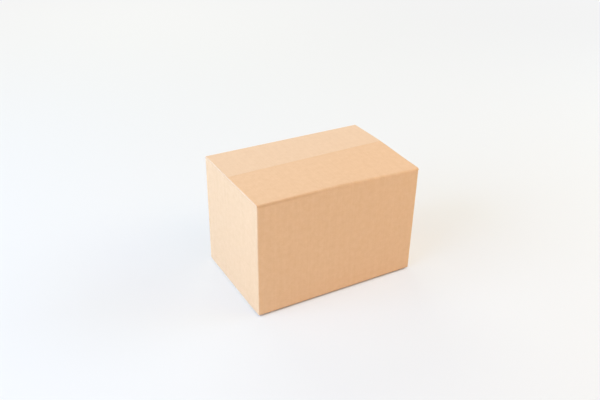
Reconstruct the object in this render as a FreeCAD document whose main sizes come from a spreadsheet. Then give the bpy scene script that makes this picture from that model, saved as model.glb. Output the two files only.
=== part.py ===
import FreeCAD, Part
import math
import os

import Sketcher

# Closed shipping carton folded from one sheet of corrugated board, in millimetres.
# X runs along the long side, -Y is the front, +Z is up, and the origin is the middle of the base.
# The two long top flaps lie shut on the two short ones and meet in an open seam.
# Each long flap turns about the line where the outer faces of its wall and itself would meet.

# alias, size in millimetres, what it is
DRIVING_SIZES = [
    ("box_length", 306.0, "outside, end panel to end panel"),
    ("box_width", 200.0, "outside, front panel to rear panel"),
    ("box_height", 210.0, "outside, base to the top of the shut flaps"),
    ("board", 3.0, "thickness of the corrugated board"),
    ("fold_radius", 3.0, "outer radius where the board folds"),
    ("flap_clearance", 0.2, "air between the short top flaps and the long ones on them"),
    ("slot_inset", 2.0, "how far the long flaps stop short of the end faces"),
    ("side_clearance", 0.6, "air beside the short flaps, between the long walls"),
    ("top_seam_left", 8.0, "how far behind the middle the top seam lies, at the left end"),
    ("top_seam_right", 14.0, "how far behind the middle the top seam lies, at the right end"),
    ("seam_gap", 0.8, "open seam between two flap edges"),
    ("short_flap", 97.0, "short flaps, measured from the end face"),
    ("tab_width", 35.0, "glued tab inside the rear right corner"),
    ("tab_clearance", 1.0, "air between the tab's ends and the short flaps"),
    ("joint_groove", 1.5, "groove beside the rear panel's cut edge, where the tab turns in"),
    ("joint_setback", 0.6, "how far the rear panel's cut edge stops short of the end face"),
]

# Places worked out from the driving sizes, written as expressions that the document works out.
BOARD = "Sizes.board"
RADIUS = "Sizes.fold_radius"
TOP = "Sizes.box_height"
HALF_LENGTH = "Sizes.box_length / 2"
HALF_WIDTH = "Sizes.box_width / 2"
INNER_LENGTH = "(Sizes.box_length / 2 - Sizes.board)"
INNER_WIDTH = "(Sizes.box_width / 2 - Sizes.board)"
FLAP_SPAN = "2 * (Sizes.box_length / 2 - Sizes.slot_inset)"
CORNER = "max(Sizes.board; Sizes.fold_radius)"
POST_SIDE = f"Sizes.box_length / 2 - {CORNER} - Sizes.side_clearance - Sizes.slot_inset"
POST_DEPTH = f"(Sizes.box_width / 2 - {CORNER} - Sizes.side_clearance)"
SHORT_SPAN = f"2 * {POST_DEPTH}"
SHORT_TIP = "(Sizes.box_length / 2 - Sizes.short_flap)"
SHORT_TOP = "(Sizes.box_height - Sizes.board - Sizes.flap_clearance)"
WALL_BOTTOM = CORNER
WALL_TOP = f"min({SHORT_TOP}; Sizes.box_height - Sizes.fold_radius)"
MITRE_INSET = "Sizes.fold_radius * (1 - cos(45 deg))"
FLAT_START = "(Sizes.box_width / 2 - Sizes.fold_radius - Sizes.board)"
FRONT = -1
REAR = 1


def make_sheet(doc):
    """The spreadsheet of driving sizes."""
    sheet = doc.addObject("Spreadsheet::Sheet", "Sizes")
    for row, (alias, size, meaning) in enumerate(DRIVING_SIZES, start=1):
        sheet.set(f"A{row}", alias)
        sheet.set(f"B{row}", str(size))
        sheet.set(f"C{row}", meaning)
        sheet.setAlias(f"B{row}", alias)
    doc.recompute()
    return sheet


def make_body(doc, name):
    body = doc.addObject("PartDesign::Body", name)
    body.Label = name
    return body


def start_sketch(body, name, role):
    """An empty sketch on one of the body's own origin planes."""
    plane = next(feature for feature in body.Origin.OriginFeatures if feature.Role == role)
    sketch = body.newObject("Sketcher::SketchObject", name)
    sketch.AttachmentSupport = [(plane, "")]
    sketch.MapMode = "FlatFace"
    return sketch


def place_point(sketch, edge, point, across=None, up=None):
    """Holds one point of an edge at a place given by expressions, measured from the origin."""
    for kind, expression in (("DistanceX", across), ("DistanceY", up)):
        if expression is None:
            continue
        start_value = sketch.evalExpression(expression)
        constraint = Sketcher.Constraint(kind, -1, 1, edge, point, start_value)
        number = sketch.addConstraint(constraint)
        sketch.setExpression(f"Constraints[{number}]", expression)


def add_line(sketch, start, finish):
    """A straight edge, as (edge, its first point, its last point)."""
    return sketch.addGeometry(Part.LineSegment(start, finish), False), 1, 2


def add_round(sketch, start, finish, centre):
    """The shorter arc about centre from start to finish, in the same form as add_line."""
    first = math.atan2(start.y - centre.y, start.x - centre.x)
    second = math.atan2(finish.y - centre.y, finish.x - centre.x)
    circle = Part.Circle(centre, FreeCAD.Vector(0, 0, 1), (start - centre).Length)
    if (second - first) % (2 * math.pi) < math.pi:
        return sketch.addGeometry(Part.ArcOfCircle(circle, first, second), False), 1, 2
    return sketch.addGeometry(Part.ArcOfCircle(circle, second, first), False), 2, 1


def draw_outline(sketch, corners):
    """A closed outline through corners, each (across, up) as expressions. A corner that also names
    a centre, (across, up, centre across, centre up), is reached from the one before by an arc."""

    def spot(across, up):
        return FreeCAD.Vector(sketch.evalExpression(across), sketch.evalExpression(up), 0)

    spots = [spot(*corner[:2]) for corner in corners]
    edges = []
    for index, corner in enumerate(corners):
        if len(corner) == 2:
            edges.append(add_line(sketch, spots[index - 1], spots[index]))
            continue
        centre = spot(*corner[2:])
        edges.append(add_round(sketch, spots[index - 1], spots[index], centre))
        place_point(sketch, edges[-1][0], 3, across=corner[2], up=corner[3])
    for index, (edge, _, last_point) in enumerate(edges):
        next_edge, next_first_point, _ = edges[(index + 1) % len(edges)]
        meeting = ("Coincident", edge, last_point, next_edge, next_first_point)
        sketch.addConstraint(Sketcher.Constraint(*meeting))
    for index, corner in enumerate(corners):
        edge, _, last_point = edges[index]
        if len(corner) == 2:
            place_point(sketch, edge, last_point, across=corner[0], up=corner[1])
            continue
        # The centre and the arc's other end give the radius, so one coordinate is enough here.
        reach = spots[index] - spot(*corner[2:])
        if abs(reach.y) > abs(reach.x):
            place_point(sketch, edge, last_point, across=corner[0])
        else:
            place_point(sketch, edge, last_point, up=corner[1])


def pad_up(body, name, outlines, bottom, height):
    """One or more plan outlines, raised by height from the level called bottom."""
    sketch = start_sketch(body, name + "_plan", "XY_Plane")
    sketch.setExpression("AttachmentOffset.Base.z", bottom)
    for corners in outlines:
        draw_outline(sketch, corners)
    pad = body.newObject("PartDesign::Pad", name)
    pad.Profile = sketch
    pad.setExpression("Length", height)


def pad_both_ways(body, name, role, corners, span):
    """A section on a standing plane through the origin, drawn out evenly to both sides of it."""
    sketch = start_sketch(body, name + "_section", role)
    draw_outline(sketch, corners)
    pad = body.newObject("PartDesign::Pad", name)
    pad.Profile = sketch
    pad.SideType = "Symmetric"
    pad.setExpression("Length", span)


def rectangle(left, right, near, far):
    return [(left, near), (right, near), (right, far), (left, far)]


def rounded_corner(side, depth, from_end):
    """The two ends of a rounded standing fold, for side and depth of -1 or 1."""
    centre = (f"{side} * ({HALF_LENGTH} - {RADIUS})", f"{depth} * ({HALF_WIDTH} - {RADIUS})")
    on_end = (f"{side} * {HALF_LENGTH}", centre[1])
    on_long_wall = (centre[0], f"{depth} * {HALF_WIDTH}")
    if from_end:
        return [on_end, on_long_wall + centre]
    return [on_long_wall, on_end + centre]


def joint_corner():
    """The rear right edge, where the end panel turns in behind the rear panel's cut edge."""
    cut_edge = f"{HALF_LENGTH} - Sizes.joint_setback"
    return [
        (HALF_LENGTH, f"{INNER_WIDTH} - Sizes.joint_groove"),
        (f"{HALF_LENGTH} - Sizes.joint_groove", INNER_WIDTH),
        (cut_edge, INNER_WIDTH),
        (cut_edge, HALF_WIDTH),
    ]


def add_sleeve(body):
    """The four walls, as high as the end panels are flat."""
    outside = rounded_corner(-1, FRONT, True) + rounded_corner(1, FRONT, False)
    outside += joint_corner() + rounded_corner(-1, REAR, False)
    inside = rectangle(f"-{INNER_LENGTH}", INNER_LENGTH, f"-{INNER_WIDTH}", INNER_WIDTH)
    bottom = f"{BOARD} + {RADIUS}"
    height = f"{SHORT_TOP} - {RADIUS} - ({bottom})"
    pad_up(body, "sleeve", [outside, inside], bottom, height)


def corner_post(side, depth):
    """Plan of a standing fold beyond the flaps' folds: an L of board, rounded outside."""
    post_side = f"{side} * ({POST_SIDE})"
    post_depth = f"{depth} * {POST_DEPTH}"
    inner_side = f"{side} * {INNER_LENGTH}"
    inner_depth = f"{depth} * {INNER_WIDTH}"
    inside = [(inner_side, post_depth), (inner_side, inner_depth), (post_side, inner_depth)]
    outside = [(post_side, f"{depth} * {HALF_WIDTH}")] + rounded_corner(side, depth, False)
    return inside + outside + [(f"{side} * {HALF_LENGTH}", post_depth)]


def joint_post():
    """The same for the rear right edge, with its cut edge and groove."""
    post_depth = f"{POST_DEPTH} - Sizes.joint_groove"
    start = [(INNER_LENGTH, INNER_WIDTH), (INNER_LENGTH, post_depth), (HALF_LENGTH, post_depth)]
    return start + joint_corner() + [(POST_SIDE, HALF_WIDTH), (POST_SIDE, INNER_WIDTH)]


def add_corner_posts(body):
    """The standing folds, down and up to where the slots between the flaps end."""
    posts = [corner_post(-1, FRONT), corner_post(1, FRONT), corner_post(-1, REAR), joint_post()]
    pad_up(body, "corner_posts", posts, WALL_BOTTOM, f"{WALL_TOP} - {WALL_BOTTOM}")


def add_long_wall(body, name, side):
    """A long wall with its bottom flap below and its half of the crease on top."""
    face = f"{side} * ({HALF_WIDTH})"
    inner_face = f"{side} * {INNER_WIDTH}"
    tangent = f"{side} * ({HALF_WIDTH} - {RADIUS})"
    seam_edge = f"{side} * Sizes.seam_gap / 2"
    section = [
        (inner_face, f"{TOP} - {BOARD}"),
        (inner_face, BOARD),
        (seam_edge, BOARD),
        (seam_edge, "0"),
        (tangent, "0"),
        (face, RADIUS, tangent, RADIUS),
        (face, f"{TOP} - {RADIUS}"),
        (
            f"{side} * ({HALF_WIDTH} - {MITRE_INSET})",
            f"{TOP} - {MITRE_INSET}",
            tangent,
            f"{TOP} - {RADIUS}",
        ),
    ]
    pad_both_ways(body, name, "YZ_Plane", section, FLAP_SPAN)


def add_end_wall(body, name, side):
    """An end wall with a short flap folded in at the top and another at the bottom."""
    face = f"{side} * {HALF_LENGTH}"
    inner_face = f"{side} * {INNER_LENGTH}"
    tangent = f"{side} * ({HALF_LENGTH} - {RADIUS})"
    tip = f"{side} * {SHORT_TIP}"
    section = [
        (tip, SHORT_TOP),
        (tangent, SHORT_TOP),
        (face, f"{SHORT_TOP} - {RADIUS}", tangent, f"{SHORT_TOP} - {RADIUS}"),
        (face, f"{BOARD} + {RADIUS}"),
        (tangent, BOARD, tangent, f"{BOARD} + {RADIUS}"),
        (tip, BOARD),
        (tip, f"2 * {BOARD}"),
        (inner_face, f"2 * {BOARD}"),
        (inner_face, f"{SHORT_TOP} - {BOARD}"),
        (tip, f"{SHORT_TOP} - {BOARD}"),
    ]
    pad_both_ways(body, name, "XZ_Plane", section, SHORT_SPAN)


def add_glued_tab(body):
    """The tab that the right end panel carries round inside the rear panel."""
    far = INNER_WIDTH
    plan = rectangle(f"{INNER_LENGTH} - Sizes.tab_width", INNER_LENGTH, f"{far} - {BOARD}", far)
    bottom = f"2 * {BOARD} + Sizes.tab_clearance"
    height = f"{SHORT_TOP} - {BOARD} - Sizes.tab_clearance - ({bottom})"
    pad_up(body, "glued_tab", [plan], bottom, height)


def make_carton(doc):
    """The folded sheet: walls, glued bottom flaps, short top flaps and the glued tab."""
    body = make_body(doc, "carton")
    add_sleeve(body)
    add_corner_posts(body)
    add_long_wall(body, "front_panel", FRONT)
    add_long_wall(body, "rear_panel", REAR)
    add_end_wall(body, "left_end_panel", -1)
    add_end_wall(body, "right_end_panel", 1)
    add_glued_tab(body)
    return body


def make_top_flap(doc, name, side):
    """A long top flap: its half of the crease, then the flat of it out to the seam."""
    body = make_body(doc, name)
    tangent = f"{side} * ({HALF_WIDTH} - {RADIUS})"
    flat_start = f"{side} * {FLAT_START}"
    crease = [
        (f"{side} * {INNER_WIDTH}", f"{TOP} - {BOARD}"),
        (f"{side} * ({HALF_WIDTH} - {MITRE_INSET})", f"{TOP} - {MITRE_INSET}"),
        (tangent, TOP, tangent, f"{TOP} - {RADIUS}"),
        (flat_start, TOP),
        (flat_start, f"{TOP} - {BOARD}"),
    ]
    pad_both_ways(body, name + "_crease", "YZ_Plane", crease, FLAP_SPAN)
    flat = [
        (f"-{FLAP_SPAN} / 2", flat_start),
        (f"{FLAP_SPAN} / 2", flat_start),
        (f"{FLAP_SPAN} / 2", f"Sizes.top_seam_right + {side} * Sizes.seam_gap / 2"),
        (f"-{FLAP_SPAN} / 2", f"Sizes.top_seam_left + {side} * Sizes.seam_gap / 2"),
    ]
    pad_up(body, name + "_flat", [flat], f"{TOP} - {BOARD}", BOARD)
    return body


def check_document(doc, bodies):
    """Stops if anything failed to build, or if a body isn't one valid solid."""
    for item in doc.Objects:
        if "Invalid" in item.State or "Error" in item.State:
            raise RuntimeError(f"{item.Name} failed: {item.State}")
    for body in bodies:
        shape = body.Shape
        if shape.isNull() or not shape.isValid() or len(shape.Solids) != 1:
            raise RuntimeError(f"{body.Label} is not one valid solid")


def main():
    doc = FreeCAD.newDocument("carton")
    make_sheet(doc)
    bodies = [
        make_carton(doc),
        make_top_flap(doc, "front_top_flap", FRONT),
        make_top_flap(doc, "rear_top_flap", REAR),
    ]
    doc.recompute()
    check_document(doc, bodies)
    os.makedirs("parts", exist_ok=True)
    for body in bodies:
        body.Shape.exportStep(f"parts/{body.Label}.step")
        size = body.Shape.BoundBox
        print(f"{body.Label}: {size.XLength:.1f} x {size.YLength:.1f} x {size.ZLength:.1f} mm,",
              f"{body.Shape.Volume / 1000:.1f} cm3")


main()
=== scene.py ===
import math

import bmesh
import bpy
import numpy as np
from mathutils import Matrix, Vector


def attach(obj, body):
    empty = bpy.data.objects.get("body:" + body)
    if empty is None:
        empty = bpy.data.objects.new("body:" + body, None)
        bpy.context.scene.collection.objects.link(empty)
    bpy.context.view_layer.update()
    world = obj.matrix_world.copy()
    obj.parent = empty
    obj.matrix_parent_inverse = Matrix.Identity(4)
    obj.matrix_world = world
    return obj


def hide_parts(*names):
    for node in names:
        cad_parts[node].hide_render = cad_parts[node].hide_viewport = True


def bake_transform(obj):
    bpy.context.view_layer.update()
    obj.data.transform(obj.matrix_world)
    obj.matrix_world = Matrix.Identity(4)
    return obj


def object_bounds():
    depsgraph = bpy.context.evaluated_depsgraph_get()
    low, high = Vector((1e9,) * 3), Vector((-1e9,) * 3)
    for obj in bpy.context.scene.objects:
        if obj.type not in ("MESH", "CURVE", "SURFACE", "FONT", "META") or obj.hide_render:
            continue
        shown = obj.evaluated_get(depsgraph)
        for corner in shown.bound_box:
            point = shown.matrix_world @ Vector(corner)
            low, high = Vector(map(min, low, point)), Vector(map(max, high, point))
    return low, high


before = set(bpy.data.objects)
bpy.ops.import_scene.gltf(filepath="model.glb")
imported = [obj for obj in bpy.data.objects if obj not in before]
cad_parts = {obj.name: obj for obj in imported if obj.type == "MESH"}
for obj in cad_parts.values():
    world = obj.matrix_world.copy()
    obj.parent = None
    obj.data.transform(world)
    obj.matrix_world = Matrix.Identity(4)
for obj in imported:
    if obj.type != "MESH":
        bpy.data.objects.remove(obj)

cadLow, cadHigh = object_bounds()
mm = 0.001

# What a user would change about the sheet that the box is folded from, in metres.
sheet = {
    "board": 3.0 * mm,
    "foldRadius": 3.0 * mm,
    "innerRadius": 0.3 * mm,
    "flutePitch": 6.4 * mm,      # B flute
    "stepsPerFlute": 8,
    "liner": 0.45 * mm,          # real liner is about 0.3 mm, drawn thicker so that its edge shows
    "medium": 0.35 * mm,
    "washboard": 0.02 * mm,      # how far the liner dips between the flutes
    "washboardAtFold": 0.08 * mm,
    "fluteDepthShown": 7.0 * mm,
    "edgeHollow": 0.2 * mm,      # how far the medium sits back in an edge cut along the flutes
    "foldSteps": 6,              # faces round each fold
    "standingRadius": 1.8 * mm,  # the four standing folds run along the flutes and bend sharper
    "endFoldRadius": 1.2 * mm,   # the short flaps are pressed flat by the long ones on them
    "shortFlap": 97.0 * mm,
    "flapClearance": 0.2 * mm,
    "sideClearance": 0.6 * mm,
    "longFlapSetback": 0.2 * mm,  # the long top flaps stop this far short of the end faces
    "baseFlapSetback": 1.4 * mm,
    "seamCloses": 0.3 * mm,      # the cut edges at the top seam lean this much towards each other
    "baseSeamGap": 0.8 * mm,
    "tabWidth": 35.0 * mm,
    "tabLift": 0.15 * mm,
    "cutEdgeSetback": 0.6 * mm,
    "flapFlatFrom": 7.0 * mm,    # base and short flaps are flat from this far in from the wall's face
    "lowestRow": 8.0 * mm,       # rows of points up the walls: the lowest, then evenly spaced ones
    "rowInset": 20.0 * mm,
    "wallRows": 9,
    "lastRowBelow": 5.0 * mm,    # the last row is this far below the short flaps' top
    "flapRows": 9,
    "slotGap": 0.05 * mm,        # between the end of a fold and the row where its slot ends
    "firstRowAbove": 0.5 * mm,
    "weld": 0.002 * mm,          # points closer than this are one point
    "sharpAngle": 38.0,          # degrees; edges that turn less are shaded smooth
}

# How the box has settled out of true, in metres.
wear = {
    "frontBow": 2.2 * mm,
    "leftBow": 0.6 * mm,
    "rightBow": 1.2 * mm,
    "rearBow": 1.5 * mm,
    "bowDepth": 15.0 * mm,       # what lies this near to a wall bows with it
    "baseLift": 0.3 * mm,
    "frontEdgeLift": 1.8 * mm,   # the base's front edge stands off the floor a little
    "frontEdgeReach": 45.0 * mm,
    "baseTaper": 0.7 * mm,       # each end face is this much further in at the base
    "foldRoll": 0.2 * mm,        # the long flaps roll over towards their folds
    "foldRollMore": 0.6 * mm,    # the front flap does so more and more towards its right end
    "foldRollReach": 7.0 * mm,
    "foldRollWider": 0.6,        # and reaches this share further
    "foldRollFade": 14.0 * mm,
    "cornerDrop": 5.6 * mm,      # the right front top corner is pressed down
    "cornerDropAlongFront": 190.0 * mm,
    "cornerDropAlongEnd": 140.0 * mm,
    "cornerDropDepth": 130.0 * mm,
}

crease = {
    "halfBand": 7.0 * mm,        # the crease piece reaches this far down the wall and along the flap
    "steps": 10,
    "bendReach": 1.5 * mm,       # how far to each side of the mitre plane the bend reaches; nothing here bends the piece
    "foldShares": (0.2, 0.95),   # the places along the fold that the mitre plane goes through
    "rows": 5,
    "coreInset": 0.35 * mm,
    "coreLonger": 0.5 * mm,      # the core reaches this far past the band
    "coreEndGap": 0.6 * mm,
}

length = cadHigh.x - cadLow.x
width = cadHigh.y - cadLow.y
height = cadHigh.z
board = sheet["board"]
foldRadius = sheet["foldRadius"]
innerReach = board + sheet["innerRadius"]
shortTop = height - board - sheet["flapClearance"]
slotSide = foldRadius + sheet["sideClearance"]
up = np.array([0.0, 0.0, 1.0])


def linearFromHex(code):
    # sRGB hex to linear colour with alpha
    channels = [int(code[i:i + 2], 16) / 255 for i in (1, 3, 5)]
    linear = [c / 12.92 if c <= 0.04045 else ((c + 0.055) / 1.055) ** 2.4 for c in channels]
    return linear + [1.0]


def smoothStep(x):
    x = np.clip(x, 0.0, 1.0)
    return x * x * (3 - 2 * x)


# Sheet meshes. A sheet is kept as lists of points, their place on the flat blank, and faces.
linerFinish, edgeFinish = 0, 1


def newSheet():
    return {"points": [], "places": [], "faces": [], "finishes": [], "count": 0}


def addGrid(mesh, points, places, finish=linerFinish, flip=False):
    # points and places are rows x columns x 3; faces look along column direction x row direction
    rows, columns = points.shape[:2]
    first = mesh["count"]
    index = first + np.arange(rows * columns).reshape(rows, columns)
    corners = [index[:-1, :-1], index[:-1, 1:], index[1:, 1:], index[1:, :-1]]
    if flip:
        corners.reverse()
    faces = np.stack(corners, -1).reshape(-1, 4)
    mesh["points"].append(points.reshape(-1, 3))
    mesh["places"].append(places.reshape(-1, 3))
    mesh["faces"].append(faces)
    mesh["finishes"].append(np.full(len(faces), finish))
    mesh["count"] += rows * columns


def addSkins(mesh, outer, inner, outerPlace, innerPlace):
    addGrid(mesh, outer, outerPlace)
    addGrid(mesh, inner, innerPlace, flip=True)


def addLines(mesh, lines, places, finish, flip):
    # a strip of faces through two or more lines of points
    addGrid(mesh, np.stack(lines), np.stack(places), finish, flip)


def plainEdge(mesh, outer, inner, outerPlace, innerPlace, flip, finish=edgeFinish):
    addLines(mesh, [outer, inner], [outerPlace, innerPlace], finish, flip)


def between(a, b, share):
    share = np.asarray(share)
    return a + (b - a) * (share[:, None] if share.ndim else share)


def splitEdge(mesh, outer, inner, outerPlace, innerPlace, inward, flip):
    # an edge cut along the flutes: two liner edges, and the crushed medium set back between them
    shares = [0.0, sheet["liner"] / board, 0.3, 0.7, 1 - sheet["liner"] / board, 1.0]
    hollows = [0.0, 0.0, 0.6, 1.0, 0.0, 0.0]
    lines = [between(outer, inner, share) + inward * (hollow * sheet["edgeHollow"])
             for share, hollow in zip(shares, hollows)]
    places = [between(outerPlace, innerPlace, share) for share in shares]
    addLines(mesh, lines, places, edgeFinish, flip)


def flutedEdge(mesh, outer, inner, outerPlace, innerPlace, inward, phase, flip):
    # an edge cut across the flutes: liner, pockets on each side of the waved medium, liner
    linerShare = sheet["liner"] / board
    mediumShare = sheet["medium"] / board
    swing = 1 - 2 * linerShare - mediumShare
    low = linerShare + swing * (0.5 - 0.5 * np.cos(phase))
    high = low + mediumShare
    linerIn = np.full(len(phase), linerShare)
    linerOut = np.full(len(phase), 1 - linerShare)
    depth = inward * sheet["fluteDepthShown"]

    def line(share, deep=False):
        return between(outer, inner, share) + (depth if deep else 0)

    def place(share):
        return between(outerPlace, innerPlace, share)

    solid = [(np.zeros(len(phase)), linerIn), (low, high), (linerOut, np.ones(len(phase)))]
    for start, finish in solid:
        addLines(mesh, [line(start), line(finish)], [place(start), place(finish)], edgeFinish, flip)
    for start, finish in ((linerIn, low), (high, linerOut)):
        pocket = [line(start), line(start, True), line(finish, True), line(finish)]
        places = [place(start), place(start), place(finish), place(finish)]
        addLines(mesh, pocket, places, edgeFinish, flip)


# Sections of the folded sheet. A row is (outer in, outer up, inner in, inner up, how much it is fold),
# where in is measured inwards from the outer face of the wall.
def flatRows(ins, level, thickness):
    # a flap at this level; thickness is negative where the sheet's inner side is below
    return [(n, level, n, level + thickness, 0.0) for n in ins]


def lowerFold(level, radius, steps):
    rho = sheet["innerRadius"]
    rows = []
    for angle in np.linspace(0, math.pi / 2, steps + 1):
        away, rise = 1 - math.sin(angle), 1 - math.cos(angle)
        rows.append((radius * away, level + radius * rise,
                     board + rho * away, level + board + rho * rise, math.sin(2 * angle)))
    return rows


def upperFold(level, radius, steps):
    rows = lowerFold(level, radius, steps)
    return [(a, 2 * level - b, c, 2 * level - d, e) for a, b, c, d, e in reversed(rows)]


def wallRows(levels):
    return [(0.0, z, board, z, 0.0) for z in levels]


middleLevels = list(np.linspace(sheet["rowInset"], height - sheet["rowInset"], sheet["wallRows"]))
wallLevels = [sheet["lowestRow"]] + middleLevels + [shortTop - sheet["lastRowBelow"]]
creaseStart = height - crease["halfBand"]
slotRow = (0.0, foldRadius + sheet["slotGap"], board, innerReach + sheet["slotGap"], 0.0)
firstOuter = board + foldRadius + sheet["firstRowAbove"]
firstWallRow = (0.0, firstOuter, board, firstOuter + innerReach - foldRadius, 0.0)
middleRows = wallRows(wallLevels)
borderRow = wallRows([creaseStart])


def longWallSection():
    reach = width / 2 - sheet["baseSeamGap"] / 2
    flap = flatRows(np.linspace(reach, sheet["flapFlatFrom"], 4), 0.0, board)
    fold = lowerFold(0.0, foldRadius, sheet["foldSteps"])
    return flap + fold + [slotRow, firstWallRow] + middleRows + borderRow


def endWallSection():
    tip, radius, steps = sheet["shortFlap"], sheet["endFoldRadius"], sheet["foldSteps"]
    flatFrom = sheet["flapFlatFrom"]
    lowerFlap = flatRows(np.linspace(tip, flatFrom, 4), board, board)
    upperFlap = flatRows(np.linspace(flatFrom, tip, 5), shortTop, -board)
    wall = lowerFold(board, radius, steps) + [firstWallRow] + middleRows + borderRow
    return lowerFlap + wall + upperFold(shortTop, radius, steps) + upperFlap


def postSection():
    top = (0.0, shortTop, board, shortTop, 0.0)
    return [slotRow, firstWallRow] + middleRows + borderRow + [top]


def creaseSection():
    # up the wall to the two close rows where the slots between the flaps end, round the fold, and
    # along the flap; the inner skin's rows lie a little lower there, to stay below its sharp corner
    slotEnd = height - foldRadius - sheet["slotGap"]
    closeBy, innerLower = 0.2 * mm, 0.4 * mm
    rise = list(np.linspace(creaseStart, shortTop - 0.3 * mm, 4))
    start = wallRows(rise)
    start.append((0.0, slotEnd - closeBy, board, slotEnd - innerLower - sheet["slotGap"], 0.0))
    start.append((0.0, slotEnd, board, slotEnd - innerLower, 0.0))
    run = np.linspace(innerReach + closeBy, crease["halfBand"], crease["rows"])
    return start + upperFold(height, foldRadius, crease["steps"]) + flatRows(run, height, -board)


def beyondWall(section):
    # how far each row of a long wall's section reaches past the standing folds, on a flap or its fold
    ups = np.array([row[1] for row in section])
    onBase = ups < foldRadius + sheet["slotGap"] / 2
    onTop = ups > shortTop + sheet["flapClearance"] / 2
    base = onBase * (foldRadius - sheet["baseFlapSetback"])
    return base + onTop * (foldRadius - sheet["longFlapSetback"])


# The four walls in the order that the blank has them: rear, left end, front, right end.
walls = {
    "rear": {"corner": (length / 2, width / 2), "along": (-1, 0), "inward": (0, -1), "size": length},
    "left": {"corner": (-length / 2, width / 2), "along": (0, -1), "inward": (1, 0), "size": width},
    "front": {"corner": (-length / 2, -width / 2), "along": (1, 0), "inward": (0, 1), "size": length},
    "right": {"corner": (length / 2, -width / 2), "along": (0, 1), "inward": (-1, 0), "size": width},
}
blankStart = 0.0
for wall in walls.values():
    wall["corner"] = np.array([*wall["corner"], 0.0])
    wall["along"] = np.array([*wall["along"], 0.0])
    wall["inward"] = np.array([*wall["inward"], 0.0])
    wall["blankStart"] = blankStart
    blankStart += wall["size"]


def fluteColumns(start, finish):
    # column places between start and finish, a whole number of flutes apart, with their flute phase
    flutes = max(1, round((finish - start) / sheet["flutePitch"]))
    count = flutes * sheet["stepsPerFlute"]
    phase = np.arange(count + 1) * (2 * math.pi / sheet["stepsPerFlute"])
    return np.linspace(start, finish, count + 1), phase


def blankUpOf(section):
    # the first row's place on the blank, counted so that all the walls agree at the crease pieces' border
    return width / 2 + creaseStart - sectionLengths(section)[rowIndex(section, borderRow[0])]


def sectionLengths(section):
    # how far each row lies along the sheet, measured on its middle
    middle = np.array([((a + c) / 2, (b + d) / 2) for a, b, c, d, e in section])
    steps = np.linalg.norm(np.diff(middle, axis=0), axis=1)
    return np.concatenate([[0.0], np.cumsum(steps)])


def longPlaces(wall, section):
    # column places for each row of a long wall, out to the standing folds or to the long flaps'
    # cut ends, as (outer skin, inner skin, flute phase)
    places, phase = fluteColumns(foldRadius, wall["size"] - foldRadius)
    innerPlaces = places.copy()
    innerPlaces[0], innerPlaces[-1] = innerReach, wall["size"] - innerReach
    fade = np.clip(1 - np.arange(len(places)) / sheet["stepsPerFlute"], 0, 1)
    beyond = beyondWall(section)[:, None]
    widePlaces = places + beyond * (fade[::-1] - fade)
    return widePlaces, np.where(beyond > 0, widePlaces, innerPlaces), phase


def panelSkins(wall, section, outerAlong, innerAlong, phase, blankUp):
    # the outer and inner skins of a flat or folded stretch of one wall, with the washboard in them;
    # the column places are one row, or one row for each row of the section
    rows = np.array(section)
    inward, along, corner = wall["inward"], wall["along"], wall["corner"]

    def skin(ins, ups, places):
        across = corner + np.atleast_2d(places)[:, :, None] * along
        return across + ins[:, None, None] * inward + ups[:, None, None] * up

    outer = skin(rows[:, 0], rows[:, 1], outerAlong)
    inner = skin(rows[:, 2], rows[:, 3], innerAlong)
    through = inner - outer
    through = through / np.linalg.norm(through, axis=2, keepdims=True)
    depth = sheet["washboard"] + (sheet["washboardAtFold"] - sheet["washboard"]) * rows[:, 4]
    dip = depth[:, None] * (0.5 - 0.5 * np.cos(phase))[None, :]
    swell = depth[:, None] * (0.5 + 0.5 * np.cos(phase))[None, :]
    outer = outer + through * dip[:, :, None]
    inner = inner - through * swell[:, :, None]
    lengths = blankUp + sectionLengths(section)

    def flat(places, depthIn):
        u = np.broadcast_to(wall["blankStart"] + np.atleast_2d(places), outer.shape[:2])
        v = np.broadcast_to(lengths[:, None], outer.shape[:2])
        return np.stack([u, v, np.full(outer.shape[:2], depthIn)], -1)

    return outer, inner, flat(outerAlong, 0.0), flat(innerAlong, board)


def rowIndex(section, row):
    return section.index(row)


def addLongWall(mesh, wall):
    section = longWallSection()
    outer, inner, outerPlace, innerPlace = panelSkins(
        wall, section, *longPlaces(wall, section), blankUpOf(section))
    addSkins(mesh, outer, inner, outerPlace, innerPlace)
    plainEdge(mesh, outer[0], inner[0], outerPlace[0], innerPlace[0], True)
    plainEdge(mesh, outer[-1], inner[-1], outerPlace[-1], innerPlace[-1], False)
    cut = slice(0, rowIndex(section, slotRow) + 1)
    for column, side in ((0, 1), (-1, -1)):
        splitEdge(mesh, outer[cut, column], inner[cut, column], outerPlace[cut, column],
                  innerPlace[cut, column], wall["along"] * side, side < 0)


def addEndWall(mesh, wall, finish, innerFinish):
    places, phase = fluteColumns(slotSide, finish)
    innerPlaces = places.copy()
    innerPlaces[-1] = innerFinish
    section = endWallSection()
    outer, inner, outerPlace, innerPlace = panelSkins(
        wall, section, places, innerPlaces, phase, blankUpOf(section))
    addSkins(mesh, outer, inner, outerPlace, innerPlace)
    for row, side in ((0, -1), (-1, 1)):
        flutedEdge(mesh, outer[row], inner[row], outerPlace[row], innerPlace[row],
                   wall["inward"] * -1.0, phase, side < 0)
    lower = slice(0, rowIndex(section, firstWallRow) + 1)
    upper = slice(rowIndex(section, borderRow[0]) + 1, len(section))
    for column, side in ((0, 1), (-1, -1)):
        for cut in (lower, upper):
            splitEdge(mesh, outer[cut, column], inner[cut, column], outerPlace[cut, column],
                      innerPlace[cut, column], wall["along"] * side, side < 0)


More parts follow.
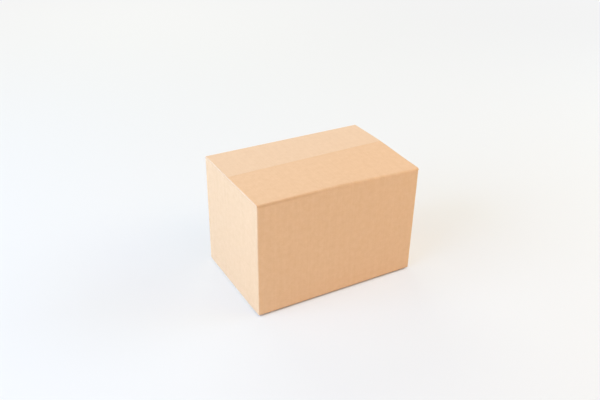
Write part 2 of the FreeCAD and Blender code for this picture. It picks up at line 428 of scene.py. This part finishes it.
def cornerSkins(corner, before, after, section, leadIn, leadOut, blankAt):
    # a standing fold between two walls, with the flat strips beside it out to the slots
    rho, radius = sheet["innerRadius"], sheet["standingRadius"]
    outerPlan = [corner - before * leadIn]
    innerPlan = [corner - before * max(leadIn, innerReach) + after * board]
    for angle in np.linspace(0, math.pi / 2, sheet["foldSteps"] + 1):
        sine, cosine = math.sin(angle), math.cos(angle)
        outerPlan.append(corner - before * radius * (1 - sine) + after * radius * (1 - cosine))
        innerIn, innerOn = board + rho * (1 - sine), board + rho * (1 - cosine)
        innerPlan.append(corner - before * innerIn + after * innerOn)
    outerPlan.append(corner + after * leadOut)
    innerPlan.append(corner + after * max(leadOut, innerReach) - before * board)
    return planSkins(np.array(outerPlan), np.array(innerPlan), section, blankAt)


def planSkins(outerPlan, innerPlan, section, blankAt):
    # upright skins over a plan line
    rows = np.array(section)
    outer = outerPlan[None] + rows[:, 1][:, None, None] * up
    inner = innerPlan[None] + rows[:, 3][:, None, None] * up
    run = np.concatenate([[0.0], np.cumsum(np.linalg.norm(np.diff(outerPlan, axis=0), axis=1))])
    u = np.broadcast_to(blankAt + run[None, :], outer.shape[:2])
    v = np.broadcast_to(width / 2 + rows[:, 1][:, None], outer.shape[:2])
    outerPlace = np.stack([u, v, np.zeros(outer.shape[:2])], -1)
    innerPlace = outerPlace + np.array([0.0, 0.0, board])
    return outer, inner, outerPlace, innerPlace


def closePost(mesh, skins, section, longSideColumn, endSideColumn, longSideFirst):
    # closes the ends of a standing fold above and below the folds beside it
    outer, inner, outerPlace, innerPlace = skins
    plainEdge(mesh, outer[0], inner[0], outerPlace[0], innerPlace[0], True)
    plainEdge(mesh, outer[-1], inner[-1], outerPlace[-1], innerPlace[-1], False)
    border = rowIndex(section, borderRow[0])
    first = rowIndex(section, firstWallRow)
    cuts = [(longSideColumn, slice(border, len(section)), longSideFirst)]
    if endSideColumn is not None:
        cuts.append((endSideColumn, slice(0, first + 1), not longSideFirst))
        cuts.append((endSideColumn, slice(border + 1, len(section)), not longSideFirst))
    for column, cut, isFirst in cuts:
        plainEdge(mesh, outer[cut, column], inner[cut, column], outerPlace[cut, column],
                  innerPlace[cut, column], not isFirst)


def addStandingFold(mesh, before, after, longSideFirst):
    # longSideFirst is true where the long wall comes before the fold on the blank
    section = postSection()
    leadIn = foldRadius if longSideFirst else slotSide
    leadOut = slotSide if longSideFirst else foldRadius
    blankAt = after["blankStart"] - (foldRadius if longSideFirst else slotSide)
    skins = cornerSkins(after["corner"], before["along"], after["along"], section,
                        leadIn, leadOut, blankAt)
    addSkins(mesh, *skins)
    longColumn, endColumn = (0, -1) if longSideFirst else (-1, 0)
    closePost(mesh, skins, section, longColumn, endColumn, longSideFirst)


def addJoint(mesh):
    # the rear right edge: the rear wall's cut edge, and the right wall turning in behind it as the tab
    rear, right = walls["rear"], walls["right"]
    section = postSection()
    setback = sheet["cutEdgeSetback"]
    outerPlan = np.array([rear["corner"] + rear["along"] * s for s in (setback, foldRadius)])
    innerPlan = np.array([rear["corner"] + rear["along"] * s + rear["inward"] * board
                          for s in (setback, innerReach)])
    skins = planSkins(outerPlan, innerPlan, section, setback)
    addSkins(mesh, *skins)
    closePost(mesh, skins, section, -1, None, False)
    outer, inner, outerPlace, innerPlace = skins
    splitEdge(mesh, outer[:, 0], inner[:, 0], outerPlace[:, 0], innerPlace[:, 0], rear["along"], False)

    turn = rear["corner"] + rear["inward"] * (board + sheet["tabLift"])
    skins = cornerSkins(turn, right["along"], rear["along"], section, foldRadius, foldRadius,
                        right["blankStart"] + width - 2 * foldRadius)
    addSkins(mesh, *skins)
    outer, inner, outerPlace, innerPlace = skins
    plainEdge(mesh, outer[0], inner[0], outerPlace[0], innerPlace[0], True)
    plainEdge(mesh, outer[-1], inner[-1], outerPlace[-1], innerPlace[-1], False)
    first, border = rowIndex(section, firstWallRow), rowIndex(section, borderRow[0])
    tabFirst, tabLast = first + 1, border - 1
    for column, cuts, isFirst in ((0, (slice(0, first + 1), slice(border + 1, len(section))), False),
                                  (-1, (slice(0, tabFirst + 1), slice(tabLast, len(section))), True)):
        for cut in cuts:
            plainEdge(mesh, outer[cut, column], inner[cut, column], outerPlace[cut, column],
                      innerPlace[cut, column], isFirst)

    tab = {"corner": turn, "along": rear["along"], "inward": rear["inward"],
           "blankStart": right["blankStart"] + width}
    places, phase = fluteColumns(foldRadius, foldRadius + sheet["tabWidth"])
    innerPlaces = places.copy()
    innerPlaces[0] = innerReach
    rows = middleRows
    outer, inner, outerPlace, innerPlace = panelSkins(
        tab, rows, places, innerPlaces, phase, width / 2 + wallLevels[0])
    addSkins(mesh, outer, inner, outerPlace, innerPlace)
    plainEdge(mesh, outer[0], inner[0], outerPlace[0], innerPlace[0], True)
    plainEdge(mesh, outer[-1], inner[-1], outerPlace[-1], innerPlace[-1], False)
    splitEdge(mesh, outer[:, -1], inner[:, -1], outerPlace[:, -1], innerPlace[:, -1],
              -tab["along"], True)


def addCore(mesh, wall, isFlap):
    # the board's end inside the crease piece, cut to a mitre; it shows when the flap is folded back
    inset = crease["coreInset"]
    corner = inset + foldRadius * (1 - math.cos(math.pi / 4))
    inner = board - inset
    low = crease["halfBand"] + crease["coreLonger"]
    profile = [(inset, low), (inset, foldRadius), (corner, corner), (inner, inner), (inner, low)]
    if isFlap:
        profile = [(b, a) for a, b in reversed(profile)]
    endGap = (sheet["longFlapSetback"] if isFlap else foldRadius) + crease["coreEndGap"]
    ends = [endGap, wall["size"] - endGap]
    ring = [wall["corner"] + wall["inward"] * n + up * (height - d) for n, d in profile]
    lines = [np.array([point + wall["along"] * s for s in ends]) for point in ring]
    places = [np.array([[wall["blankStart"] + s, height, board] for s in ends]) for point in ring]
    addLines(mesh, lines + lines[:1], places + places[:1], linerFinish, False)
    for end, flip in ((0, False), (1, True)):
        middle = sum(line[end] for line in lines) / len(lines)
        middlePlace = places[0][end]
        spoke = np.array([line[end] for line in lines + lines[:1]])
        spokePlace = np.array([place[end] for place in places + places[:1]])
        hub = np.repeat(middle[None], len(spoke), 0)
        hubPlace = np.repeat(middlePlace[None], len(spoke), 0)
        addLines(mesh, [spoke, hub], [spokePlace, hubPlace], linerFinish, flip)


def settle(points):
    # moves every point a little, by where it is: bowed walls and the corner that is pressed down
    x, y, z = points.T
    moved = points.copy()
    halfX, halfY = length / 2, width / 2
    alongX = 1 - np.clip(np.abs(x) / halfX, 0, 1) ** 2
    alongY = 1 - np.clip(np.abs(y) / halfY, 0, 1) ** 2
    alongZ = 1 - np.clip(np.abs(z - height / 2) / (height / 2), 0, 1) ** 2

    def near(distance):
        return smoothStep(1 - distance / wear["bowDepth"])

    moved[:, 1] += wear["frontBow"] * alongX * alongZ * near(y + halfY)
    moved[:, 1] -= wear["rearBow"] * alongX * alongZ * near(halfY - y)
    moved[:, 0] += wear["leftBow"] * alongY * alongZ * near(x + halfX)
    moved[:, 0] -= wear["rightBow"] * alongY * alongZ * near(halfX - x)
    moved[:, 2] += wear["baseLift"] * alongX * alongY * near(z)
    moved[:, 0] -= wear["baseTaper"] * (x / halfX) * smoothStep(1 - z / height)
    liftReach = wear["frontEdgeReach"]
    lifted = smoothStep(1 - (y + halfY) / liftReach) * smoothStep(1 - z / liftReach)
    moved[:, 2] += wear["frontEdgeLift"] * lifted

    def roll(distance, more):
        # more is 0 to 1 along the fold: how much deeper and wider the roll is there
        reach = wear["foldRollReach"] * (1 + wear["foldRollWider"] * more)
        depth = wear["foldRoll"] + wear["foldRollMore"] * more
        return depth * np.clip(1 - distance / reach, 0, 1) ** 2

    nearTop = smoothStep(1 - (height - z) / wear["foldRollFade"])
    towardsRight = smoothStep((x + halfX) / length)
    moved[:, 2] -= nearTop * (roll(y + halfY, towardsRight) + roll(halfY - y, 0.0))
    reachX = smoothStep(1 - (halfX - x) / wear["cornerDropAlongFront"])
    reachY = smoothStep(1 - (y + halfY) / wear["cornerDropAlongEnd"])
    reachZ = smoothStep(1 - (height - z) / wear["cornerDropDepth"])
    moved[:, 2] -= wear["cornerDrop"] * reachX * reachY * reachZ
    return moved


def makePiece(name, mesh, materials):
    points = settle(np.concatenate(mesh["points"]))
    faces = np.concatenate(mesh["faces"])
    data = bpy.data.meshes.new(name)
    data.from_pydata(points.tolist(), [], faces.tolist())
    data.polygons.foreach_set("material_index", np.concatenate(mesh["finishes"]).astype(np.int32))
    place = data.attributes.new("boardPlace", "FLOAT_VECTOR", "POINT")
    place.data.foreach_set("vector", np.concatenate(mesh["places"]).astype(np.float32).ravel())
    for material in materials:
        data.materials.append(material)
    work = bmesh.new()
    work.from_mesh(data)
    bmesh.ops.remove_doubles(work, verts=work.verts, dist=sheet["weld"])
    bmesh.ops.dissolve_degenerate(work, edges=work.edges, dist=sheet["weld"] / 2)
    work.to_mesh(data)
    work.free()
    data.shade_smooth()
    data.set_sharp_from_angle(angle=math.radians(sheet["sharpAngle"]))
    piece = bpy.data.objects.new(name, data)
    bpy.context.scene.collection.objects.link(piece)
    return piece


# Materials
def addNode(tree, kind, settings=None, links=None):
    # adds one node; settings are its own values or its inputs' values, links are its inputs' sources
    node = tree.nodes.new(kind)
    for key, value in (settings or {}).items():
        if isinstance(key, str) and hasattr(node, key):
            setattr(node, key, value)
        else:
            node.inputs[key].default_value = value
    for key, source in (links or {}).items():
        tree.links.new(source, node.inputs[key])
    return node


# Unbleached kraft liner: its colours, and the real sizes of what the paper's surface shows, in metres.
kraft = {
    "liner": "#E4B98A",
    "linerDark": "#DCAE7E",
    "linerPale": "#ECC396",
    # the rear flap's colours are the liner's painted lighter: painted light and sheen that the rear flap
    # catches, on the same board
    "rearFlapPaintedLight": "#E6C198",
    "rearFlapDark": "#DFB88D",
    "rearFlapPale": "#EDCAA3",
    "cloudSize": 10.0 * mm,      # patches of the paper's cloudy formation
    "fibreLength": 4.0 * mm,
    "fibreWidth": 0.5 * mm,      # drawn five times as wide as real ones so that they show
    "fibreShare": 0.5,
    "stripesPerFlute": 1.6,
    "stripeBreaks": 3.0,         # how often a stripe changes its tone along each metre
    "stripeShare": 0.2,
    "grainsPerMetre": 900.0,     # bumps about 1.1 mm apart
    "grainStrength": 0.25,
    "grainHeight": 0.2 * mm,
    "roughness": 0.75,
    "ior": 1.5,
    "sheen": 0.15,
    "sheenRoughness": 0.5,
}


def paintedFoldShade(tree, place, foldShade):
    # how much painted shade each place gets: across a band along a fold, and fading along the fold
    smooth = {"interpolation_type": "SMOOTHSTEP"}
    rises = {"From Min": foldShade["starts"], "From Max": foldShade["darkest"]}
    falls = {"From Min": foldShade["darkest"], "From Max": foldShade["ends"], "To Min": 1.0, "To Max": 0.0}
    fades = {"From Min": foldShade["fadesFrom"], "From Max": foldShade["fadesTo"], "To Min": 1.0, "To Max": 0.0}
    axes = addNode(tree, "ShaderNodeSeparateXYZ", None, {"Vector": place})
    rise = addNode(tree, "ShaderNodeMapRange", {**smooth, **rises}, {"Value": axes.outputs["Y"]})
    fall = addNode(tree, "ShaderNodeMapRange", {**smooth, **falls}, {"Value": axes.outputs["Y"]})
    fade = addNode(tree, "ShaderNodeMapRange", fades, {"Value": axes.outputs["X"]})
    band = addNode(tree, "ShaderNodeMath", {"operation": "MULTIPLY"},
                   {0: rise.outputs[0], 1: fall.outputs[0]})
    shadeAmount = addNode(tree, "ShaderNodeMath", {"operation": "MULTIPLY"},
                      {0: band.outputs[0], 1: fade.outputs[0]})
    return shadeAmount.outputs[0]


def kraftLiner(name, middle, dark, pale, foldShade):
    # Unbleached kraft liner, machine glazed on neither side: matt, with long fibres and a cloudy
    # formation, and a faint stripe where each flute is glued to it. Along a fold its colour is darkened
    # in a band: painted shade, standing in for the shade at the folds, not a mark on the paper.
    material = bpy.data.materials.new(name)
    material.use_nodes = True
    tree = material.node_tree
    tree.nodes.clear()
    place = addNode(tree, "ShaderNodeAttribute", {"attribute_name": "boardPlace"}).outputs["Vector"]
    cloud = addNode(tree, "ShaderNodeTexNoise",
                    {"Scale": 1 / kraft["cloudSize"], "Detail": 3.0, "Roughness": 0.65}, {"Vector": place})
    # the fibres lie round the box, along the first axis of the blank
    fibreScale = (1 / kraft["fibreLength"], 1 / kraft["fibreWidth"], 1.0)
    stretched = addNode(tree, "ShaderNodeMapping", {"Scale": fibreScale}, {"Vector": place})
    fibre = addNode(tree, "ShaderNodeTexNoise", {"Scale": 1.0, "Detail": 2.0, "Roughness": 0.55},
                    {"Vector": stretched.outputs["Vector"]})
    # the flutes' stripes run up the panels, along the second axis of the blank
    stripeScale = (1 / sheet["flutePitch"], kraft["stripeBreaks"], 1.0)
    streak = addNode(tree, "ShaderNodeMapping", {"Scale": stripeScale}, {"Vector": place})
    stripe = addNode(tree, "ShaderNodeTexNoise",
                     {"Scale": kraft["stripesPerFlute"], "Detail": 2.0, "Roughness": 0.5},
                     {"Vector": streak.outputs["Vector"]})
    clouded = addNode(tree, "ShaderNodeMix", {"data_type": "FLOAT", "Factor": kraft["fibreShare"]},
                      {"A": cloud.outputs["Fac"], "B": fibre.outputs["Fac"]})
    tone = addNode(tree, "ShaderNodeMix", {"data_type": "FLOAT", "Factor": kraft["stripeShare"]},
                   {"A": clouded.outputs["Result"], "B": stripe.outputs["Fac"]})
    ramp = addNode(tree, "ShaderNodeValToRGB", None, {"Fac": tone.outputs["Result"]})
    ramp.color_ramp.elements[0].position = 0.25
    ramp.color_ramp.elements[0].color = linearFromHex(dark)
    ramp.color_ramp.elements[1].position = 0.75
    ramp.color_ramp.elements[1].color = linearFromHex(pale)
    middleStop = ramp.color_ramp.elements.new(0.5)
    middleStop.color = linearFromHex(middle)
    # the mix node's colour sockets are 6, 7 and, going out, 2
    # painted shade: the liner's colour times the band's colour, where the band lies along a fold
    darkened = addNode(tree, "ShaderNodeMix",
                       {"data_type": "RGBA", "blend_type": "MULTIPLY", 7: linearFromHex(foldShade["colour"])},
                       {0: paintedFoldShade(tree, place, foldShade), 6: ramp.outputs["Color"]})
    grain = addNode(tree, "ShaderNodeTexNoise",
                    {"Scale": kraft["grainsPerMetre"], "Detail": 4.0, "Roughness": 0.6}, {"Vector": place})
    bump = addNode(tree, "ShaderNodeBump",
                   {"Strength": kraft["grainStrength"], "Distance": kraft["grainHeight"]},
                   {"Height": grain.outputs["Fac"]})
    finish = {"Roughness": kraft["roughness"], "IOR": kraft["ior"], "Sheen Weight": kraft["sheen"],
              "Sheen Roughness": kraft["sheenRoughness"]}
    shader = addNode(tree, "ShaderNodeBsdfPrincipled", finish,
                     {"Base Color": darkened.outputs[2], "Normal": bump.outputs["Normal"]})
    addNode(tree, "ShaderNodeOutputMaterial", None, {"Surface": shader.outputs["BSDF"]})
    return material


cutEdge = {
    "pale": "#ECCAA5",
    "dark": "#DAB188",
    "fraysPerMetre": 1200.0,     # torn fibre ends about 0.8 mm apart
    "frayStrength": 0.4,
    "frayHeight": 0.2 * mm,
    "roughness": 0.9,
    "ior": 1.5,
}


def cutBoard(name):
    # Cut edge of corrugated board, as the slotting knife leaves it: raw fibre ends and the waved
    # medium, rougher than the liner and a little uneven in tone.
    material = bpy.data.materials.new(name)
    material.use_nodes = True
    tree = material.node_tree
    tree.nodes.clear()
    place = addNode(tree, "ShaderNodeAttribute", {"attribute_name": "boardPlace"}).outputs["Vector"]
    fray = addNode(tree, "ShaderNodeTexNoise",
                   {"Scale": cutEdge["fraysPerMetre"], "Detail": 3.0, "Roughness": 0.6}, {"Vector": place})
    ramp = addNode(tree, "ShaderNodeValToRGB", None, {"Fac": fray.outputs["Fac"]})
    ramp.color_ramp.elements[0].position = 0.3
    ramp.color_ramp.elements[0].color = linearFromHex(cutEdge["dark"])
    ramp.color_ramp.elements[1].position = 0.7
    ramp.color_ramp.elements[1].color = linearFromHex(cutEdge["pale"])
    bump = addNode(tree, "ShaderNodeBump",
                   {"Strength": cutEdge["frayStrength"], "Distance": cutEdge["frayHeight"]},
                   {"Height": fray.outputs["Fac"]})
    shader = addNode(tree, "ShaderNodeBsdfPrincipled",
                     {"Roughness": cutEdge["roughness"], "IOR": cutEdge["ior"]},
                     {"Base Color": ramp.outputs["Color"], "Normal": bump.outputs["Normal"]})
    addNode(tree, "ShaderNodeOutputMaterial", None, {"Surface": shader.outputs["BSDF"]})
    return material


# Where the painted shade bands lie on the blank, and the colour that each multiplies the liner's by.
# The band just below and round the front flap's fold is darkest at its left end and fades along the
# front panel; the base band, a painted dark line where the box meets the floor, is the same all round.
creaseUp = width / 2 + creaseStart
baseUp = width / 2
frontAt = walls["front"]["blankStart"]
pastBlank = 10.0
# painted shade just below and round the front flap's fold, darkest at the front panel's left end
topFoldShade = {
    "starts": creaseUp,
    "darkest": creaseUp + 4.5 * mm,
    "ends": creaseUp + 6.2 * mm,
    "colour": "#EEE6DD",
    "fadesFrom": frontAt,
    "fadesTo": frontAt + 190.0 * mm,
}
# painted shade, fainter, just below and round the rear flap's fold
rearFoldShade = {**topFoldShade, "colour": "#F5F1EC"}
# painted shade: a dark line round the base fold, where the box meets the floor
baseFoldShade = {
    "starts": baseUp - 4.0 * mm,
    "darkest": baseUp + 0.5 * mm,
    "ends": baseUp + 3.0 * mm,
    "colour": "#BDB2A6",
    "fadesFrom": pastBlank,
    "fadesTo": pastBlank + 1.0,
}
frontColours = (kraft["liner"], kraft["linerDark"], kraft["linerPale"])
rearPaintedLightColours = (kraft["rearFlapPaintedLight"], kraft["rearFlapDark"], kraft["rearFlapPale"])
linerMaterial = kraftLiner("kraft liner", *frontColours, baseFoldShade)
# the rear flap's board and fold get the liner painted lighter, as painted light and sheen
rearPaintedLightMaterial = kraftLiner("kraft liner, rear flap", *rearPaintedLightColours, baseFoldShade)
frontFoldShaded = kraftLiner("kraft liner, front flap's fold, painted shade", *frontColours, topFoldShade)
rearPaintedLightFoldShaded = kraftLiner("kraft liner, rear flap's fold, painted lighter and shade", *rearPaintedLightColours, rearFoldShade)
edgeMaterial = cutBoard("cut corrugated board")
print("materials made")

# The carton: everything that is folded from the sheet apart from the two long top flaps
carton = newSheet()
for name in ("front", "rear"):
    addLongWall(carton, walls[name])
    addCore(carton, walls[name], False)
addEndWall(carton, walls["left"], width - slotSide, width - slotSide)
tabTurn = width - board - sheet["tabLift"]
addEndWall(carton, walls["right"], tabTurn - foldRadius, tabTurn - innerReach)
addStandingFold(carton, walls["rear"], walls["left"], True)
addStandingFold(carton, walls["left"], walls["front"], False)
addStandingFold(carton, walls["front"], walls["right"], True)
addJoint(carton)
cartonPiece = makePiece("carton_board", carton, [linerMaterial, edgeMaterial])
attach(cartonPiece, "carton")
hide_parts("carton")
print("carton folded:", len(cartonPiece.data.polygons), "faces")


def flapReach(node, wall):
    # how far the flap's free edge is from the wall's outer face, at the two ends of the crease
    points = np.array([v.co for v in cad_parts[node].data.vertices])
    away = (points - wall["corner"]) @ wall["inward"]
    along = (points - wall["corner"]) @ wall["along"]
    endBand = foldRadius + 1.0 * mm
    ends = [along < endBand, along > wall["size"] - endBand]
    return [away[end].max() + sheet["seamCloses"] for end in ends]


def addFlap(mesh, wall, node):
    # a long top flap from the crease piece out to its free edge, which runs a little askew
    reaches = flapReach(node, wall)
    share = np.linspace(0, 1, sheet["flapRows"])
    start = crease["halfBand"]
    section = flatRows(start + (max(reaches) - start) * share, height, -board)
    places, innerPlaces, phase = longPlaces(wall, section)
    blankUp = width / 2 + creaseStart + sectionLengths(creaseSection())[-1]
    outer, inner, outerPlace, innerPlace = panelSkins(
        wall, section, places, innerPlaces, phase, blankUp)
    reach = np.interp(places[0], [places[0][0], places[0][-1]], reaches)
    short = (max(reaches) - reach)[None, :, None] * share[:, None, None]
    outer, inner = outer - wall["inward"] * short, inner - wall["inward"] * short
    outerPlace[:, :, 1] -= short[:, :, 0]
    innerPlace[:, :, 1] -= short[:, :, 0]
    addSkins(mesh, outer, inner, outerPlace, innerPlace)
    plainEdge(mesh, outer[0], inner[0], outerPlace[0], innerPlace[0], True)
    flutedEdge(mesh, outer[-1], inner[-1], outerPlace[-1], innerPlace[-1],
               -wall["inward"], phase, False)
    for column, side in ((0, 1), (-1, -1)):
        splitEdge(mesh, outer[:, column], inner[:, column], outerPlace[:, column],
                  innerPlace[:, column], wall["along"] * side, side < 0)


def addCrease(mesh, wall):
    section = creaseSection()
    outer, inner, outerPlace, innerPlace = panelSkins(
        wall, section, *longPlaces(wall, section), width / 2 + creaseStart)
    addSkins(mesh, outer, inner, outerPlace, innerPlace)
    plainEdge(mesh, outer[0], inner[0], outerPlace[0], innerPlace[0], True)
    plainEdge(mesh, outer[-1], inner[-1], outerPlace[-1], innerPlace[-1], False)
    for column, side in ((0, 1), (-1, -1)):
        splitEdge(mesh, outer[:, column], inner[:, column], outerPlace[:, column],
                  innerPlace[:, column], wall["along"] * side, side < 0)


liners = {"front": (linerMaterial, frontFoldShaded), "rear": (rearPaintedLightMaterial, rearPaintedLightFoldShaded)}
for side, (material, foldShaded) in liners.items():
    wall = walls[side]
    node, body = side + "_top_flap", side + "_flap"
    flap = newSheet()
    addFlap(flap, wall, node)
    addCore(flap, wall, True)
    flapPiece = makePiece(side + "_flap_board", flap, [material, edgeMaterial])
    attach(flapPiece, body)
    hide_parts(node)
    bend = newSheet()
    addCrease(bend, wall)
    creasePiece = makePiece(side + "_flap_crease", bend, [foldShaded, edgeMaterial])
    # works out the fold's line as it lies once settled, and a direction square to it; nothing below uses
    # them
    foldStart = wall["corner"] + up * height
    onFold = [foldStart + wall["along"] * wall["size"] * share for share in crease["foldShares"]]
    near, far = settle(np.array(onFold))
    foldRun = (far - near) / np.linalg.norm(far - near)
    across = (wall["inward"] + up) / math.sqrt(2)
    across = (across - foldRun * (across @ foldRun)) * crease["bendReach"]
    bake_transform(creasePiece)
    print(side, "flap made")

# Floor, light and camera
studio = {
    "floor": "#EDEDE8",
    "floorSeen": "#F5F5F5",
    "floorWhitened": 0.52,       # how much of the floor near the box is seen as plain white
    "whiterFrom": 0.8,           # metres from the middle; from here out it fades to all of it
    "whiteAt": 2.8,
    "gapReach": 12.0 * mm,       # closer under the box than this, the floor isn't whitened
    "halfSize": 8.0,
    "worldColour": "#FFF1E7",
    "worldStrength": 0.372,      # what lights the box; the camera sees plain white behind the floor
    "aim": (0, 0, 0.1),
}
# large soft lamps, each a square: where it is, its side in metres, its power in watts and its colour
lamps = {
    "window": ((-2.4, -0.2, 1.0), 2.2, 97.0, "#A9CCFF"),
    "upper window": ((-2.0, 0.8, 2.0), 2.0, 16.9, "#E4FBFA"),
    "rear wall": ((0.4, 2.6, 1.5), 1.8, 26.8, "#F7FCEF"),
    "right wall": ((2.6, -0.6, 1.4), 2.0, 53.2, "#D5E9FF"),
    "room, right": ((1.3, -1.2, 1.7), 1.0, 9.5, "#FADC4A"),
    "room, left": ((0.5, -1.9, 2.2), 1.6, 11.6, "#FF9810"),
}


def seenDirectly(tree):
    # 1 where the camera, a mirror or glass sees the surface, and 0 for the light that comes off it
    lightPath = addNode(tree, "ShaderNodeLightPath")
    mirrored = addNode(tree, "ShaderNodeMath", {"operation": "MAXIMUM"},
                       {0: lightPath.outputs["Is Glossy Ray"], 1: lightPath.outputs["Is Transmission Ray"]})
    seen = addNode(tree, "ShaderNodeMath", {"operation": "MAXIMUM"},
                   {0: lightPath.outputs["Is Camera Ray"], 1: mirrored.outputs[0]})
    return seen.outputs[0]


floorMesh = bpy.data.meshes.new("floor")
half = studio["halfSize"]
floorCorners = [(-half, -half, 0), (half, -half, 0), (half, half, 0), (-half, half, 0)]
floorMesh.from_pydata(floorCorners, [], [(0, 1, 2, 3)])
floor = bpy.data.objects.new("floor", floorMesh)
bpy.context.scene.collection.objects.link(floor)
floorMaterial = bpy.data.materials.new("white studio floor")
floorMaterial.use_nodes = True
tree = floorMaterial.node_tree
tree.nodes.clear()
# matt white paint; the camera sees part of it as plain white, which keeps the lamps' tints off it,
# but not in the narrow gap under the box
matt = addNode(tree, "ShaderNodeBsdfDiffuse", {"Color": linearFromHex(studio["floor"])})
whitened = addNode(tree, "ShaderNodeEmission",
                   {"Color": linearFromHex(studio["floorSeen"]), "Strength": 1.0})
openSky = addNode(tree, "ShaderNodeAmbientOcclusion", {"samples": 8, "Distance": studio["gapReach"]})
position = addNode(tree, "ShaderNodeTexCoord").outputs["Object"]
away = addNode(tree, "ShaderNodeVectorMath", {"operation": "LENGTH"}, {0: position})
whiteness = addNode(tree, "ShaderNodeMapRange",
                    {"interpolation_type": "SMOOTHSTEP", "From Min": studio["whiterFrom"],
                     "From Max": studio["whiteAt"], "To Min": studio["floorWhitened"], "To Max": 1.0},
                    {"Value": away.outputs["Value"]})
clear = addNode(tree, "ShaderNodeMapRange", {"From Min": 0.25, "From Max": 0.75},
                {"Value": openSky.outputs["AO"], "To Max": whiteness.outputs[0]})
share = addNode(tree, "ShaderNodeMath", {"operation": "MULTIPLY"},
                {0: seenDirectly(tree), 1: clear.outputs[0]})
blended = addNode(tree, "ShaderNodeMixShader", None,
                  {0: share.outputs[0], 1: matt.outputs[0], 2: whitened.outputs[0]})
addNode(tree, "ShaderNodeOutputMaterial", None, {"Surface": blended.outputs[0]})
floorMesh.materials.append(floorMaterial)

world = bpy.data.worlds.new("studio")
world.use_nodes = True
tree = world.node_tree
tree.nodes.clear()
lit = addNode(tree, "ShaderNodeBackground",
              {"Color": linearFromHex(studio["worldColour"]), "Strength": studio["worldStrength"]})
plain = addNode(tree, "ShaderNodeBackground",
                {"Color": linearFromHex(studio["floorSeen"]), "Strength": 1.0})
either = addNode(tree, "ShaderNodeMixShader", None,
                 {0: seenDirectly(tree), 1: lit.outputs[0], 2: plain.outputs[0]})
addNode(tree, "ShaderNodeOutputWorld", None, {"Surface": either.outputs[0]})
bpy.context.scene.world = world


def addLamp(name, place, side, watts, colour):
    data = bpy.data.lights.new(name, "AREA")
    data.energy = watts
    data.size = side
    data.color = linearFromHex(colour)[:3]
    lamp = bpy.data.objects.new(name, data)
    bpy.context.scene.collection.objects.link(lamp)
    lamp.location = place
    lamp.rotation_euler = (Vector(studio["aim"]) - lamp.location).to_track_quat("-Z", "Y").to_euler()


for name, settings in lamps.items():
    addLamp(name, *settings)

view = {
    "lens": 42.12,           # on a 36 mm wide sensor
    "place": (-0.5535, -0.9286, 0.7271),
    "azimuth": -29.83,
    "elevation": 28.82,
    "roll": 1.05,
}
cameraData = bpy.data.cameras.new("camera")
cameraData.lens = view["lens"]
cameraData.sensor_width = 36.0
camera = bpy.data.objects.new("camera", cameraData)
bpy.context.scene.collection.objects.link(camera)
camera.location = view["place"]
camera.rotation_mode = "XYZ"
turn = Matrix.Rotation(math.radians(view["azimuth"]), 4, "Z")
tilt = Matrix.Rotation(math.radians(90 - view["elevation"]), 4, "X")
roll = Matrix.Rotation(math.radians(view["roll"]), 4, "Z")
camera.rotation_euler = (turn @ tilt @ roll).to_euler()
bpy.context.scene.camera = camera
bpy.context.scene.view_settings.view_transform = "Standard"
